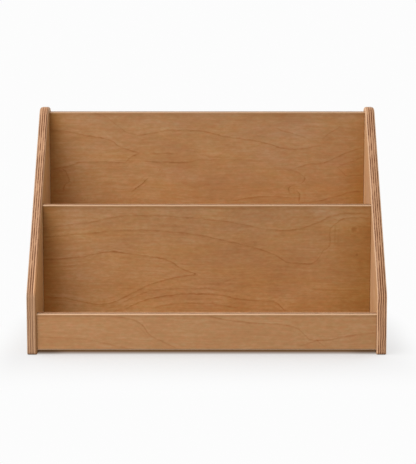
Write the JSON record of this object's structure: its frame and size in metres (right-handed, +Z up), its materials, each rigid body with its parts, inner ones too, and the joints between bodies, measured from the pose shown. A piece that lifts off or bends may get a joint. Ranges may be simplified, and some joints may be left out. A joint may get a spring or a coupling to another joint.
{
  "type": "book display shelf",
  "caption": "Low plywood book display for children: rows of books face out behind a front lip and a taller divider, between sides with a sloped front edge.",
  "frame": {"origin": "on the floor, midway between the two sides and midway along their depth", "axes": "+X across the width to the right as seen from the front, +Y from the front lip to the back, +Z up"},
  "size_m": [0.686, 0.305, 0.462],
  "materials": {
    "plywood": "clear satin lacquer over maple-faced birch plywood, edges rounded and lacquered",
    "beech": "bare turned hardwood",
    "zinc": "die-cast zinc, dull",
    "steel": "zinc-plated steel"
  },
  "bodies": {
    "root": {"left_side": "plywood", "right_side": "plywood", "back_panel": "plywood", "divider": "plywood", "front_lip": "plywood", "lower_shelf": "plywood", "upper_shelf": "plywood", "lip_dowels": "beech", "lower_shelf_dowels": "beech", "divider_dowels": "beech", "upper_shelf_dowels": "beech", "back_dowels": "beech", "lip_seam_dowels": "beech", "lower_seam_dowels": "beech", "upper_seam_dowels": "beech", "back_seam_dowels": "beech", "lower_shelf_cam_bolts": "steel", "divider_cam_bolts": "steel", "upper_shelf_cam_bolts": "steel", "back_cam_bolts": "steel", "lower_shelf_cams": "zinc", "divider_cams": "zinc", "upper_shelf_cams": "zinc", "back_cams": "zinc"}
  },
  "joints": []
}
